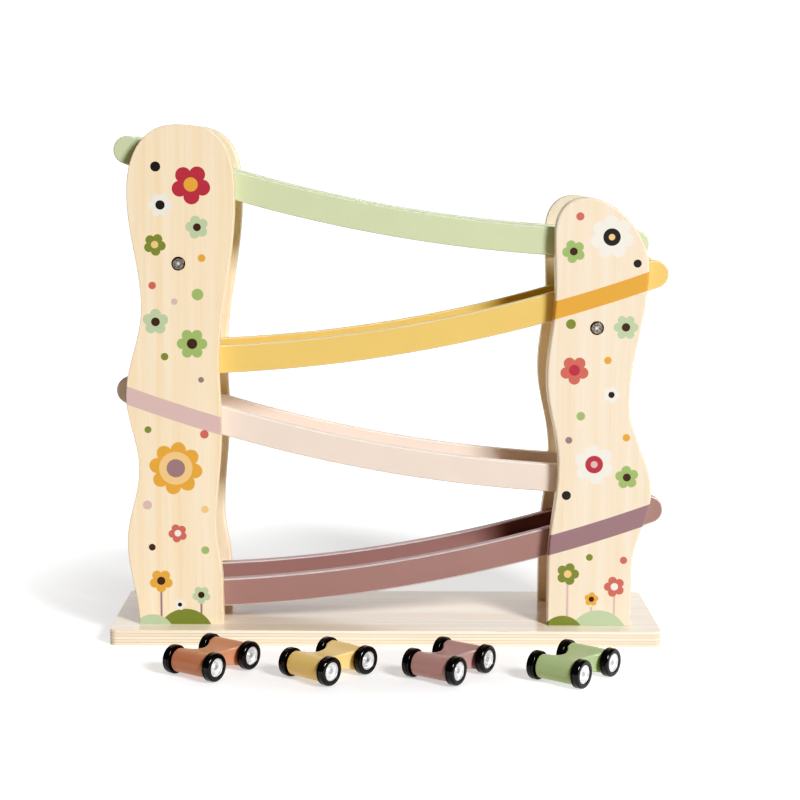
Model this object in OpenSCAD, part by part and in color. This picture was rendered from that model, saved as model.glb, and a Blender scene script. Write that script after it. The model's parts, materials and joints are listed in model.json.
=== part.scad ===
// Click clack track: four curved ramps in zigzag between two pairs of wavy wooden uprights, with
// four small cars standing in front of the base. Origin at the centre of the base's underside,
// +X to the right, +Y to the back, +Z up, all lengths in millimetres.

/* [Base board] */
// Length of the base board, left to right
base_l = 384; // [340:1:440]
// Thickness of the base board
base_t = 11; // [8:0.5:16]
// Corner radius of the base board seen from above
base_corner_r = 5; // [1:0.5:12]
// Ledge of the base board in front of and behind the uprights
base_ledge = 17; // [8:0.5:30]
// Distance from the left end of the base board to the centre line of the left uprights
left_inset = 48.5; // [42:0.5:62]
// Distance from the centre line of the right uprights to the right end of the base board
right_inset = 49; // [42:0.5:62]

/* [Uprights] */
// Width of an upright at its foot
foot_w = 59; // [52:0.5:70]
// Thickness of an upright
upright_t = 11; // [8:0.5:15]
// Wood of the left uprights above the top edge of the highest ramp
left_headroom = 19.5; // [12:0.5:40]
// Wood of the right uprights above the top edge of the highest ramp
right_headroom = 22.5; // [12:0.5:40]
// Height of the rounded top of the left uprights, on the outer side
left_outer_shoulder = 47.5; // [36:0.5:60]
// Height of the rounded top of the left uprights, on the inner side
left_inner_shoulder = 50.5; // [36:0.5:60]
// Height of the rounded top of the right uprights, on the outer side
right_outer_shoulder = 49; // [36:0.5:60]
// Height of the rounded top of the right uprights, on the inner side
right_inner_shoulder = 26; // [18:0.5:32]
// Distance from the right uprights' centre line to their highest point, towards the left
right_peak_shift = 6.5; // [0:0.5:12]

/* [Ramps] */
// Clear width of the channel between a ramp's two rails
channel_w = 46; // [38:0.5:56]
// Thickness of a rail, front to back
rail_t = 8; // [6:0.5:12]
// Height of a rail
rail_h = 19.5; // [17:0.5:24]
// Height of the lowest ramp's top edge at its lowest point
lowest_ramp_z = 39.5; // [36:0.5:50]
// Height from one ramp to the next
ramp_pitch = 83; // [76:0.5:95]
// How far a ramp's high tip stands above the underside of the ramp over it
tip_lift = 3; // [0:0.5:5]
// Reach of a ramp's high tip past the centre line of its upright
high_reach = 48.5; // [40:0.5:55]
// Reach of a ramp's low tip past the centre line of its upright
low_reach = 34.5; // [28:0.5:40]
// Shift of all ramps to the right of the middle between the uprights
ramp_shift = 3.5; // [0:0.5:8]
// Distance from a ramp's low tip to the lowest point of its curve
level_run = 8; // [4:0.5:16]
// Depth of the running surface below the rails' top edge
floor_depth = 11; // [8:0.5:12]
// Thickness of a ramp's floor
floor_t = 4; // [3:0.5:5]
// Clear length of the hole at a ramp's low end that a car falls through
drop_gap = 52; // [44:0.5:60]
// Diameter of the crossbars between the rails' ends
crossbar_d = 12; // [9:0.5:15]
// Gap between a ramp's floor and the crossbar at its high end
floor_end_gap = 0.5; // [0.3:0.1:2]

/* [Spreaders and screws] */
// Diameter of the round spreader between a pair of uprights
spreader_d = 16; // [12:0.5:18]
// Height from the left spreader's centre up to the highest ramp's underside
left_spreader_drop = 54.5; // [45:0.5:65]
// Gap between the right spreader and the ramp over it
right_spreader_gap = 4.5; // [3:0.5:8]
// Distance from the right uprights' centre line to the right spreader, to the right
right_spreader_shift = 1.5; // [0:0.5:5]
// Diameter of a spreader screw's head
head_d = 9; // [7:0.5:11]
// Thickness of a spreader screw's head
head_t = 2.2; // [1.6:0.1:3]
// Depth of the pocket that a spreader screw's head sits in
pocket_depth = 1.4; // [0.8:0.1:2]
// Gap around the head in its pocket
pocket_gap = 0.3; // [0.2:0.1:0.6]
// Diameter of a screw's shank
shank_d = 4; // [3:0.1:5]
// Radial gap between a screw's shank and its hole
shank_gap = 0.1; // [0.05:0.01:0.3]
// Length of a screw in the wood that it holds
screw_grip = 16; // [10:0.5:22]
// Width of the cross recess in a screw's head
recess_w = 1; // [0.6:0.1:1.4]
// Length of the cross recess in a screw's head
recess_l = 4.6; // [3:0.1:5.5]
// Depth of the cross recess in a screw's head
recess_depth = 1.2; // [0.6:0.1:1.4]
// Diameter of a base screw's countersunk head
sunk_head_d = 8; // [7:0.1:10]
// Distance between the two base screws under an upright
base_screw_spacing = 34; // [24:1:42]
// Radius of the corner between a spreader screw's head and its edge
head_edge_r = 0.9; // [0.4:0.1:1.2]

/* [Cars] */
// Radius of a wheel over its tyre
wheel_r = 9.5; // [8:0.25:11]
// Width of a tyre
tyre_w = 5.7; // [4:0.1:7]
// Radius of the rounded shoulder of a tyre
tyre_shoulder_r = 1.6; // [0.8:0.1:2]
// Radius of a wheel's hub
hub_r = 6.2; // [5:0.1:6.6]
// Depth of the dish in a hub's outer face
hub_dish = 1.6; // [0.8:0.1:2.5]
// Setback of a hub's rim behind the tyre's outer face
hub_setback = 0.6; // [0.3:0.1:1.2]
// Width of the flat rim around a hub's dish
hub_rim_w = 0.9; // [0.5:0.1:1.2]
// Width of the slope between a hub's rim and the bottom of its dish
hub_slope_w = 0.8; // [0.4:0.1:1.2]
// Radius of the raised boss in the middle of a hub
boss_r = 2.6; // [2.2:0.1:3.4]
// Distance between a car's front and rear axles
wheelbase = 35.5; // [32:0.5:42]
// Gap between a car and each rail of the channel
car_side_gap = 3; // [0.5:0.25:5]
// Diameter of an axle
axle_d = 3; // [2.4:0.1:3.6]
// Radial gap of an axle in the car's body
axle_gap = 0.05; // [0.03:0.01:0.09]
// Gap between a tyre and the car's body
wheel_gap = 0.4; // [0.3:0.1:1]
// Height of the car's body above the floor
body_clearance = 1.6; // [1:0.1:2.5]
// Thickness of the car's body at its waist
waist_t = 10.4; // [8:0.1:12]
// Width of the car's body at its waist
waist_w = 17; // [12:0.5:20]
// Distance from an axle to the end of the hollow in the body's side
hollow_inset = 5; // [3:0.5:8]
// Length of the round tip of an axle outside its hub's boss
axle_tip = 0.5; // [0.3:0.1:1]

/* [Places of the cars] */
// Place of the terracotta car: right of the middle
terracotta_car_x = -115; // [-135:0.5:-90]
// Place of the terracotta car: in front of the base board
terracotta_car_ahead = 62.5; // [50:0.5:100]
// Heading of the terracotta car, in degrees from the right towards the base board
terracotta_car_turn = 54.5; // [40:0.5:65]
// Place of the yellow car: right of the middle
yellow_car_x = -38; // [-60:0.5:-20]
// Place of the yellow car: in front of the base board
yellow_car_ahead = 70.5; // [50:0.5:100]
// Heading of the yellow car, in degrees from the right towards the base board
yellow_car_turn = 49; // [40:0.5:65]
// Place of the mauve car: right of the middle
mauve_car_x = 41.5; // [20:0.5:60]
// Place of the mauve car: in front of the base board
mauve_car_ahead = 69; // [50:0.5:100]
// Heading of the mauve car, in degrees from the right towards the base board
mauve_car_turn = 54.5; // [40:0.5:65]
// Place of the green car: right of the middle
green_car_x = 123; // [95:0.5:135]
// Place of the green car: in front of the base board
green_car_ahead = 75; // [50:0.5:100]
// Heading of the green car, in degrees from the right towards the base board
green_car_turn = 51.5; // [40:0.5:65]

/* [Hidden] */
// Signs of the directions that the modules below take
front = -1;
back = 1;
left = -1;
right = 1;
tail = -1;
nose = 1;
// How far a cut runs past the surface that it opens
overlap = 1;
// Segments of a round piece
round_fn = 64;
ramp_names = ["mauve", "pink", "yellow", "green"];
ramp_colors = ["#a8786f", "#eedcd0", "#eeca78", "#d1dbb0"];
car_names = ["terracotta_car", "yellow_car", "mauve_car", "green_car"];
car_colors = ["#c2774f", "#d9b25c", "#9e6f6b", "#9cb36b"];
car_spots = [
    [terracotta_car_x, terracotta_car_ahead, terracotta_car_turn],
    [yellow_car_x, yellow_car_ahead, yellow_car_turn],
    [mauve_car_x, mauve_car_ahead, mauve_car_turn],
    [green_car_x, green_car_ahead, green_car_turn]
];
ramp_parts = ["front_rail", "back_rail", "floor", "high_crossbar", "low_crossbar"];
car_parts = ["body", "front_axle", "rear_axle", "front_tyres", "rear_tyres", "front_hubs", "rear_hubs"];

wood = "#f3e2c2";
steel = "#6d6a68";
tyre_black = "#1b1a1a";
hub_silver = "#d4d4d2";

// Uprights and base
upright_gap = channel_w + 2 * rail_t;
upright_in_y = upright_gap / 2;
upright_out_y = upright_in_y + upright_t;
base_d = 2 * (upright_out_y + base_ledge);
left_x = -base_l / 2 + left_inset;
right_x = base_l / 2 - right_inset;

// Ramps: each is an arc whose lowest point lies near its low tip, and they lead left and right in turn
ramp_rise = ramp_pitch - rail_h + tip_lift;
function high_side(i) = i % 2 == 0 ? right : left;
function upright_x(side) = side == left ? left_x : right_x;
function high_tip_x(i) = upright_x(high_side(i)) + high_side(i) * high_reach + ramp_shift;
function low_tip_x(i) = upright_x(-high_side(i)) - high_side(i) * low_reach + ramp_shift;
function low_point_x(i) = low_tip_x(i) + high_side(i) * level_run;
function low_point_z(i) = lowest_ramp_z + i * ramp_pitch;
function span(i) = abs(high_tip_x(i) - low_point_x(i));
function arc_r(i) = (span(i) ^ 2 + ramp_rise ^ 2) / (2 * ramp_rise);
// Point of ramp i on the arc that lies depth below its top edge, at an angle from the arc's lowest point
function arc_point(i, depth, angle) = [
    low_point_x(i) + high_side(i) * (arc_r(i) + depth) * sin(angle),
    low_point_z(i) + arc_r(i) - (arc_r(i) + depth) * cos(angle)
];
function angle_at(i, depth, x) = asin(high_side(i) * (x - low_point_x(i)) / (arc_r(i) + depth));
// Height of the arc that lies depth below the top edge of ramp i, at x
function arc_z(i, depth, x) = arc_point(i, depth, angle_at(i, depth, x))[1];
end_r = rail_h / 2;
function high_end_angle(i) = angle_at(i, end_r, high_tip_x(i) - high_side(i) * end_r);
function low_end_angle(i) = angle_at(i, end_r, low_tip_x(i) + high_side(i) * end_r);
function floor_high_x(i) = high_tip_x(i) - high_side(i) * (end_r + crossbar_d / 2 + floor_end_gap);
function floor_low_x(i) = low_tip_x(i) + high_side(i) * (end_r + crossbar_d / 2 + drop_gap);

// Spreaders
top_ramp = len(ramp_names) - 1;
left_spreader_z = arc_z(top_ramp, rail_h, left_x) - left_spreader_drop;
right_spreader_x = right_x + right_spreader_shift;
right_spreader_z = arc_z(top_ramp - 1, rail_h, right_spreader_x) - right_spreader_gap - spreader_d / 2;

// Tops of the uprights
left_top_z = arc_z(top_ramp, 0, left_x) + left_headroom;
right_top_z = low_point_z(top_ramp) + right_headroom;

// Wavy sides of the uprights, from the foot up: each bend's height above the base in ramp pitches, and
// how far the side stands out past the foot there
left_outer_bends = [[0.71, 7.5], [1.33, -1], [1.94, 7.5], [2.69, -3.5]];
left_inner_bends = [[0.35, -0.5], [0.83, -5], [1.68, -1], [2.19, -2.5]];
right_inner_bends = [[0.55, 0], [1.37, -6], [2.12, 3], [2.8, -2]];
right_outer_bends = [[0.5, 0], [1.14, 12.5], [1.91, -4]];
// How far the sides stand out past the foot at the shoulders, where the rounded top begins
left_outer_swell = 5.5;
left_inner_swell = 9;
right_inner_swell = -1;
right_outer_swell = 7.5;
// Fullness of the rounded tops: 2 is an ellipse, more is squarer
left_outer_fullness = 2.3;
left_inner_fullness = 2.75;
right_inner_fullness = 2.3;
right_outer_fullness = 1.8;

// Cars
car_w = channel_w - 2 * car_side_gap;
body_w = car_w - 2 * (tyre_w + wheel_gap);
housing_r = wheel_r - body_clearance;
boss_rise = hub_dish / 2;
boss_chamfer = boss_rise / 4;

// ---- Helpers ----

// Points of a wavy line through bends [z, x], level at each bend
function wave(bends, steps = 10) = [
    for (k = [0:len(bends) - 2]) for (s = [0:steps - 1])
        let (z0 = bends[k][0], z1 = bends[k + 1][0], x0 = bends[k][1], x1 = bends[k + 1][1])
            [x0 + (x1 - x0) * (1 - cos(180 * s / steps)) / 2, z0 + (z1 - z0) * s / steps]
];

// Quarter of a rounded top, from the shoulder up to the highest point
function shoulder(peak_x, side_x, shoulder_z, peak_z, fullness, steps = 14) = [
    for (s = [0:steps - 1])
        let (angle = 90 * s / steps)
            [
                peak_x + (side_x - peak_x) * cos(angle) ^ (2 / fullness),
                shoulder_z + (peak_z - shoulder_z) * sin(angle) ^ (2 / fullness)
            ]
];

// One side of an upright, from the foot up to its highest point, for x measured from its centre line
function upright_side(bends, swell, drop, fullness, peak_x, peak_z) =
    let (
        foot = [[base_t, foot_w / 2]],
        waves = [for (bend = bends) [base_t + bend[0] * ramp_pitch, foot_w / 2 + bend[1]]],
        top = [[peak_z - drop, foot_w / 2 + swell]]
    )
        concat(
            wave(concat(foot, waves, top)),
            shoulder(peak_x, foot_w / 2 + swell, peak_z - drop, peak_z, fullness)
        );

function flipped(points) = [for (k = [len(points) - 1:-1:0]) [-points[k][0], points[k][1]]];

// Outline of an upright: its right side up, then its left side down
function upright_outline(right_side, left_side, peak) = concat(right_side, [peak], flipped(left_side));

left_outline = upright_outline(
    upright_side(
        left_inner_bends, left_inner_swell, left_inner_shoulder, left_inner_fullness,
        0, left_top_z
    ),
    upright_side(
        left_outer_bends, left_outer_swell, left_outer_shoulder, left_outer_fullness,
        0, left_top_z
    ),
    [0, left_top_z]
);
right_outline = upright_outline(
    upright_side(
        right_outer_bends, right_outer_swell, right_outer_shoulder, right_outer_fullness,
        -right_peak_shift, right_top_z
    ),
    upright_side(
        right_inner_bends, right_inner_swell, right_inner_shoulder, right_inner_fullness,
        right_peak_shift, right_top_z
    ),
    [-right_peak_shift, right_top_z]
);

// Stands a drawing in X and Z upright, thick from y0 to y0 + thickness
module standing(y0, thickness) {
    translate([0, y0 + thickness, 0]) rotate([90, 0, 0]) linear_extrude(thickness) children();
}

// Cylinder along Y from y0 to y1
module rod_y(d, y0, y1) {
    translate([0, y0, 0]) rotate([-90, 0, 0]) cylinder(h = y1 - y0, d = d, $fn = round_fn);
}

// ---- Base and uprights ----

module at_base_screws() {
    for (x = [left_x, right_x]) for (side = [front, back]) for (end = [left, right])
        translate([x + end * base_screw_spacing / 2, side * (upright_in_y + upright_t / 2), 0]) children();
}

module base_board() {
    color(wood) difference() {
        linear_extrude(base_t) rounded_plate(base_l, base_d, base_corner_r);
        at_base_screws() sunk_hole();
    }
}

module rounded_plate(length, depth, r) {
    square([length - 2 * r, depth], center = true);
    square([length, depth - 2 * r], center = true);
    for (x = [left, right]) for (y = [front, back])
        translate([x * (length / 2 - r), y * (depth / 2 - r)]) circle(r, $fn = round_fn);
}

// Through hole with a countersink that opens downwards
module sunk_hole() {
    hole_d = shank_d + 2 * shank_gap;
    translate([0, 0, -overlap]) cylinder(h = base_t + 2 * overlap, d = hole_d, $fn = round_fn);
    translate([0, 0, -overlap]) cylinder(h = overlap, d = sunk_head_d + 2 * shank_gap, $fn = round_fn);
    cylinder(
        h = (sunk_head_d - shank_d) / 2, d1 = sunk_head_d + 2 * shank_gap, d2 = hole_d, $fn = round_fn
    );
}

module base_screws() {
    color(steel) at_base_screws() difference() {
        union() {
            cylinder(h = base_t + screw_grip, d = shank_d, $fn = round_fn);
            cylinder(h = (sunk_head_d - shank_d) / 2, d1 = sunk_head_d, d2 = shank_d, $fn = round_fn);
        }
        cross_recess();
    }
}

// Cross recess that opens downwards at the origin
module cross_recess() {
    translate([0, 0, -overlap]) linear_extrude(recess_depth + overlap) {
        square([recess_l, recess_w], center = true);
        square([recess_w, recess_l], center = true);
    }
}

// Upright on one side of the ramps, with the spreader screw's hole and the base screws' holes
module upright(outline, x, side, screw_x, screw_z) {
    color(wood) difference() {
        translate([x, 0, 0]) standing(side == front ? -upright_out_y : upright_in_y, upright_t)
            polygon(outline);
        at_base_screws() translate([0, 0, base_t - overlap])
            cylinder(h = screw_grip + overlap + shank_gap, d = shank_d + 2 * shank_gap, $fn = round_fn);
        translate([screw_x, 0, screw_z]) scale([1, side, 1]) {
            rod_y(shank_d + 2 * shank_gap, upright_in_y - overlap, upright_out_y + overlap);
            rod_y(head_d + 2 * pocket_gap, upright_out_y - pocket_depth, upright_out_y + overlap);
        }
    }
}

// ---- Ramps ----

function arc_run(i, depth, from, to, steps) =
    [for (s = [0:steps]) arc_point(i, depth, from + (to - from) * s / steps)];

// Half circle of end_r at the rail's end at the given angle of the arc, from the top edge to the bottom
// edge for toward = 1, and back for toward = -1
function round_end(i, angle, toward, steps = 16) =
    let (
        centre = arc_point(i, end_r, angle),
        up = (arc_point(i, 0, angle) - centre) / end_r,
        along = [high_side(i) * cos(angle), sin(angle)]
    )
        [
            for (s = [1:steps - 1])
                centre + end_r * toward * (cos(180 * s / steps) * up + sin(180 * s / steps) * along)
        ];

function rail_outline(i, steps = 48) = concat(
    arc_run(i, 0, low_end_angle(i), high_end_angle(i), steps),
    round_end(i, high_end_angle(i), 1),
    arc_run(i, rail_h, high_end_angle(i), low_end_angle(i), steps),
    round_end(i, low_end_angle(i), -1)
);

module rail(i, side) {
    y0 = side == front ? -upright_in_y : channel_w / 2;
    color(ramp_colors[i]) standing(y0, rail_t) polygon(rail_outline(i));
}

// Floor board between the rails, from the crossbar at the high end down to the drop hole
module ramp_floor(i, steps = 40) {
    under = floor_depth + floor_t;
    high = angle_at(i, floor_depth, floor_high_x(i));
    low = angle_at(i, floor_depth, floor_low_x(i));
    color(ramp_colors[i]) standing(-channel_w / 2, channel_w)
        polygon(concat(arc_run(i, floor_depth, low, high, steps), arc_run(i, under, high, low, steps)));
}

module crossbar(i, angle) {
    place = arc_point(i, end_r, angle);
    color(ramp_colors[i]) translate([place[0], 0, place[1]])
        rod_y(crossbar_d, -channel_w / 2, channel_w / 2);
}

// ---- Spreaders and their screws ----

head_seat_y = upright_out_y - pocket_depth;

module spreader(x, z) {
    color(wood) translate([x, 0, z]) difference() {
        rod_y(spreader_d, -upright_in_y, upright_in_y);
        for (side = [front, back]) scale([1, side, 1])
            rod_y(shank_d + 2 * shank_gap, upright_in_y - screw_grip - shank_gap, upright_in_y + overlap);
    }
}

// Round head seen along Y, with a rounded edge at its outer face
module screw_head() {
    arc_steps = 6;
    edge = [
        for (s = [0:arc_steps])
            let (angle = 90 * s / arc_steps)
                [
                    head_d / 2 - head_edge_r * (1 - cos(angle)),
                    head_t - head_edge_r * (1 - sin(angle))
                ]
    ];
    rotate([-90, 0, 0]) rotate_extrude($fn = round_fn)
        polygon(concat([[0, 0], [head_d / 2, 0]], edge, [[0, head_t]]));
}

module spreader_screws() {
    for (place = [[left_x, left_spreader_z], [right_spreader_x, right_spreader_z]])
        for (side = [front, back])
            color(steel) translate([place[0], 0, place[1]]) rotate([0, 0, side == front ? 180 : 0])
                difference() {
                    union() {
                        rod_y(shank_d, upright_in_y - screw_grip, head_seat_y + head_t / 2);
                        translate([0, head_seat_y, 0]) screw_head();
                    }
                    translate([0, head_seat_y + head_t, 0]) rotate([90, 0, 0]) cross_recess();
                }
}

// ---- Cars ----

// Puts a car, built with its nose along +X over the origin, on its spot in front of the base
module on_spot(i) {
    spot = car_spots[i];
    translate([spot[0], -base_d / 2 - spot[1], 0]) rotate([0, 0, spot[2]]) children();
}

module at_axle(end) {
    translate([end * wheelbase / 2, 0, wheel_r]) children();
}

// Side view of the body: two round axle housings and a waist that runs tangent into both
module body_profile() {
    half_base = wheelbase / 2;
    half_waist = waist_t / 2;
    waist_r = (half_base ^ 2 + half_waist ^ 2 - housing_r ^ 2) / (2 * (housing_r - half_waist));
    for (end = [tail, nose]) translate([end * half_base, wheel_r]) circle(housing_r, $fn = round_fn);
    difference() {
        translate([-half_base, wheel_r - housing_r]) square([wheelbase, 2 * housing_r]);
        for (side = [-1, 1]) translate([0, wheel_r + side * (half_waist + waist_r)])
            circle(waist_r, $fn = 4 * round_fn);
        for (end = [tail, nose]) translate([end * half_base, wheel_r]) corner_waste(end, waist_r);
    }
}

// What lies outside the housing, between its middle and the point where the waist leaves it
module corner_waste(end, waist_r) {
    run = wheelbase / 2 * housing_r / (housing_r + waist_r);
    difference() {
        translate([end == tail ? 0 : -run, -housing_r - overlap]) square([run, 2 * (housing_r + overlap)]);
        circle(housing_r, $fn = round_fn);
    }
}

module car_body(i) {
    hollow_half = wheelbase / 2 - hollow_inset;
    hollow_depth = (body_w - waist_w) / 2;
    hollow_r = (hollow_half ^ 2 + hollow_depth ^ 2) / (2 * hollow_depth);
    color(car_colors[i]) on_spot(i) difference() {
        standing(-body_w / 2, body_w) body_profile();
        for (side = [front, back]) translate([0, side * (waist_w / 2 + hollow_r), 0])
            cylinder(h = 2 * wheel_r, r = hollow_r, $fn = 2 * round_fn);
        for (end = [tail, nose]) at_axle(end)
            rod_y(axle_d + 2 * axle_gap, -body_w / 2 - overlap, body_w / 2 + overlap);
    }
}

module car_axle(i, end) {
    half_l = car_w / 2 - hub_setback - hub_dish + boss_rise + axle_tip;
    color(steel) on_spot(i) at_axle(end) rod_y(axle_d, -half_l, half_l);
}

// Turns a wheel piece, drawn with its inner face at z = 0 and its outer face up, to both sides of the car
module both_wheels() {
    for (side = [0, 180]) rotate([0, 0, side])
        translate([0, -car_w / 2 + tyre_w, 0]) rotate([90, 0, 0]) children();
}

function shoulder_arc(height, start, steps = 5) = [
    for (s = [0:steps])
        let (angle = start + 90 * s / steps)
            [
                wheel_r - tyre_shoulder_r + tyre_shoulder_r * cos(angle),
                height + tyre_shoulder_r * sin(angle)
            ]
];

module car_tyres(i, end) {
    color(tyre_black) on_spot(i) at_axle(end) both_wheels() rotate_extrude($fn = round_fn)
        polygon(concat(
            [[hub_r, 0]],
            shoulder_arc(tyre_shoulder_r, -90),
            shoulder_arc(tyre_w - tyre_shoulder_r, 0),
            [[hub_r, tyre_w]]
        ));
}

module car_hubs(i, end) {
    rim_z = tyre_w - hub_setback;
    dish_z = rim_z - hub_dish;
    boss_z = dish_z + boss_rise;
    color(hub_silver) on_spot(i) at_axle(end) both_wheels() rotate_extrude($fn = round_fn)
        polygon([
            [axle_d / 2, 0], [hub_r, 0], [hub_r, rim_z], [hub_r - hub_rim_w, rim_z],
            [hub_r - hub_rim_w - hub_slope_w, dish_z], [boss_r, dish_z], [boss_r - boss_chamfer, boss_z],
            [axle_d / 2, boss_z]
        ]);
}

// ---- The model ----

base_board();
upright(left_outline, left_x, front, left_x, left_spreader_z);  // left_front_upright
upright(left_outline, left_x, back, left_x, left_spreader_z);  // left_back_upright
upright(right_outline, right_x, front, right_spreader_x, right_spreader_z);  // right_front_upright
upright(right_outline, right_x, back, right_spreader_x, right_spreader_z);  // right_back_upright

for (i = [0:len(ramp_names) - 1]) {
    ramp = ramp_names[i];
    rail(i, front);
    rail(i, back);
    ramp_floor(i);
    crossbar(i, high_end_angle(i));
    crossbar(i, low_end_angle(i));
}

spreader(left_x, left_spreader_z);  // left_spreader
spreader(right_spreader_x, right_spreader_z);  // right_spreader
spreader_screws();
base_screws();

for (i = [0:len(car_names) - 1]) {
    car = car_names[i];
    car_body(i);
    car_axle(i, nose);
    car_axle(i, tail);
    car_tyres(i, nose);
    car_tyres(i, tail);
    car_hubs(i, nose);
    car_hubs(i, tail);
}
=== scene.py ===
# A wooden zigzag track toy with four little cars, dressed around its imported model.
# Metres, +X to the right, +Y to the back, +Z up; sizes in the dictionaries are millimetres.
import json
import math

import bmesh
import bpy
from mathutils import Matrix, Vector


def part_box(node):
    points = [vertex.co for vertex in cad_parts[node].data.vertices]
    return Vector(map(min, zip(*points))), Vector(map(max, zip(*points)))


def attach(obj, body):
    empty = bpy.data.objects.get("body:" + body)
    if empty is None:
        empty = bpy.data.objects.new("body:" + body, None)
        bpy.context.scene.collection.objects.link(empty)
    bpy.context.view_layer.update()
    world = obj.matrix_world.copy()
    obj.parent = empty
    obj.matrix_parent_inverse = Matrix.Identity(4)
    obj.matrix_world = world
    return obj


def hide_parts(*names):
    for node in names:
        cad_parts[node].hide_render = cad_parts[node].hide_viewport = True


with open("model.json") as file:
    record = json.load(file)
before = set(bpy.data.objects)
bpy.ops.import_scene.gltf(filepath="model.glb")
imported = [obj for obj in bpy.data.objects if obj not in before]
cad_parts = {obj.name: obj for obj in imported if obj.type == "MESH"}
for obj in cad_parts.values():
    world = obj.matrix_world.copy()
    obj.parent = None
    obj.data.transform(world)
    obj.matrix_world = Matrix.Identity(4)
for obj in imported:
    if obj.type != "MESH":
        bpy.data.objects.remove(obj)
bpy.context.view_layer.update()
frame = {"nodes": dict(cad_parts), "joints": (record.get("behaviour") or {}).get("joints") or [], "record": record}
scene = bpy.context.scene
mm = 0.001
bodyOf = {node: body for body, nodes in frame["record"]["behaviour"]["bodies"].items() for node in nodes}
print("track toy: frame loaded with", len(frame["nodes"]), "pieces")


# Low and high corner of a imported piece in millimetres, so that what is dressed follows it
def boxOf(node):
    return [[c / mm for c in corner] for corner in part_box(node)]


def middleX(node):
    low, high = boxOf(node)
    return (low[0] + high[0]) / 2


# sRGB hex to the linear colour that the shaders work in
def hexColour(text):
    channels = [int(text[i:i + 2], 16) / 255 for i in (1, 3, 5)]
    return [c / 12.92 if c <= 0.04045 else ((c + 0.055) / 1.055) ** 2.4 for c in channels] + [1]


# Adds a node with its settings and links, and gives the chosen output back
def addNode(tree, kind, inputs=None, output=0, **settings):
    node = tree.nodes.new(kind)
    for name, value in settings.items():
        setattr(node, name, value)
    for key, value in (inputs or {}).items():
        if isinstance(value, bpy.types.NodeSocket):
            tree.links.new(value, node.inputs[key])
        else:
            node.inputs[key].default_value = value
    return node.outputs[output] if node.outputs else node


# What a row of addRows says about its kind of node: the setting, the sockets it fills and the output it gives
rowKinds = {
    "Math": ("operation", (0, 1, 2), 0),
    "VectorMath": ("operation", (0, 1), 0),
    "MapRange": ("interpolation_type", (0, 1, 2, 3, 4), 0),
    "Mix": ("data_type", (0, 6, 7), 2),
}


# Adds nodes that work something out, one for each row: a name for the result, the kind of node with its
# setting (a setting alone is for plain numbers), and what goes in, by name or as a value
def addRows(tree, known, rows):
    for name, work, *values in rows:
        kind, choice = work.split() if " " in work else ("Math", work)
        setting, sockets, output = rowKinds[kind]
        inputs = {i: known[value] if isinstance(value, str) else value for i, value in zip(sockets, values)}
        output = "Value" if choice in ("DISTANCE", "DOT_PRODUCT", "LENGTH") else output
        known[name] = addNode(tree, "ShaderNode" + kind, inputs, output, **{setting: choice})
    return known


# Makes a node tree with one output, and inputs that are each a kind of socket or a number to start from
def newTree(name, kind, output, inputs):
    tree = bpy.data.node_groups.new(name, kind)
    tree.interface.new_socket(output[0], in_out="OUTPUT", socket_type="NodeSocket" + output[1])
    for label, value in inputs.items():
        socket = value if isinstance(value, str) else "Int" if isinstance(value, int) else "Float"
        made = tree.interface.new_socket(label, in_out="INPUT", socket_type="NodeSocket" + socket)
        if not isinstance(value, str):
            made.default_value = value
    given = tree.nodes.new("NodeGroupInput").outputs
    return tree, {socket.name: socket for socket in given if socket.name}


def newMaterial(name):
    material = bpy.data.materials.new(name)
    material.use_nodes = True
    material.node_tree.nodes.clear()
    return material, material.node_tree, addNode(material.node_tree, "ShaderNodeTexCoord", output="Object")


# Closes a material: the surface, with a relief of the given depth from a height between 0 and 1
def closeMaterial(tree, sockets, height, depth):
    relief = addNode(tree, "ShaderNodeBump", {"Height": height, "Distance": depth, "Strength": 1})
    shader = addNode(tree, "ShaderNodeBsdfPrincipled", {**sockets, "Normal": relief})
    addNode(tree, "ShaderNodeOutputMaterial", {"Surface": shader})


# Noise whose features are so many millimetres long along X, Y and Z
def stretchedNoise(tree, place, lengths, detail=2, roughness=0.5):
    scaled = addNode(tree, "ShaderNodeMapping", {"Vector": place, "Scale": [1 / (size * mm) for size in lengths]})
    return addNode(tree, "ShaderNodeTexNoise", {"Vector": scaled, "Scale": 1, "Detail": detail,
                                                "Roughness": roughness})


# Poplar and birch plywood, sanded and clear-lacquered: pale cream, faint grain lines, satin gloss,
# thin brown glue lines and darker cross plies where an edge shows. A grain mark has its size across and
# along the grain, and a range says from which and to which noise it grows, and from what to what.
plywoodLook = {
    "pale": "#f8e9d0",
    "warm": "#f1d9b0",
    "streak": "#e0bf8e",
    "crossPly": "#e6c99c",
    "glue": "#a97c4b",
    "bandSize": (7, 260),
    "bandRange": (0.38, 0.66, 0, 1),
    "streakSize": (0.9, 55),
    "streakRange": (0.5, 0.8, 0, 0.2),
    "fibreSize": (0.3, 7),
    "fibreRange": (0.55, 0.8, 0, 0.16),
    "poreSize": 0.5,
    "poreRange": (0.35, 0.7, 0.35, 1),
    "plies": 5,
    "facePly": 0.6,  # share of a ply at each face where no cross ply or glue shows
    "wobbleSize": 9,
    "wobbleRange": (0, 1, -0.05, 0.05),  # in plies
    "glueWidth": 0.16,
    "glueShare": 0.75,
    "roughness": (0.37, 0.49),
    "reliefDepth": 0.02,
}

# The base board's sheet is paler and glossier, so that it mirrors the white room faintly
basePlywoodLook = {**plywoodLook, "pale": "#fbf2e2", "warm": "#f5e4ca", "streak": "#e3c79c", "crossPly": "#ebdcc2",
                   "glue": "#b48a58", "roughness": (0.11, 0.23), "reliefDepth": 0.006}

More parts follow.
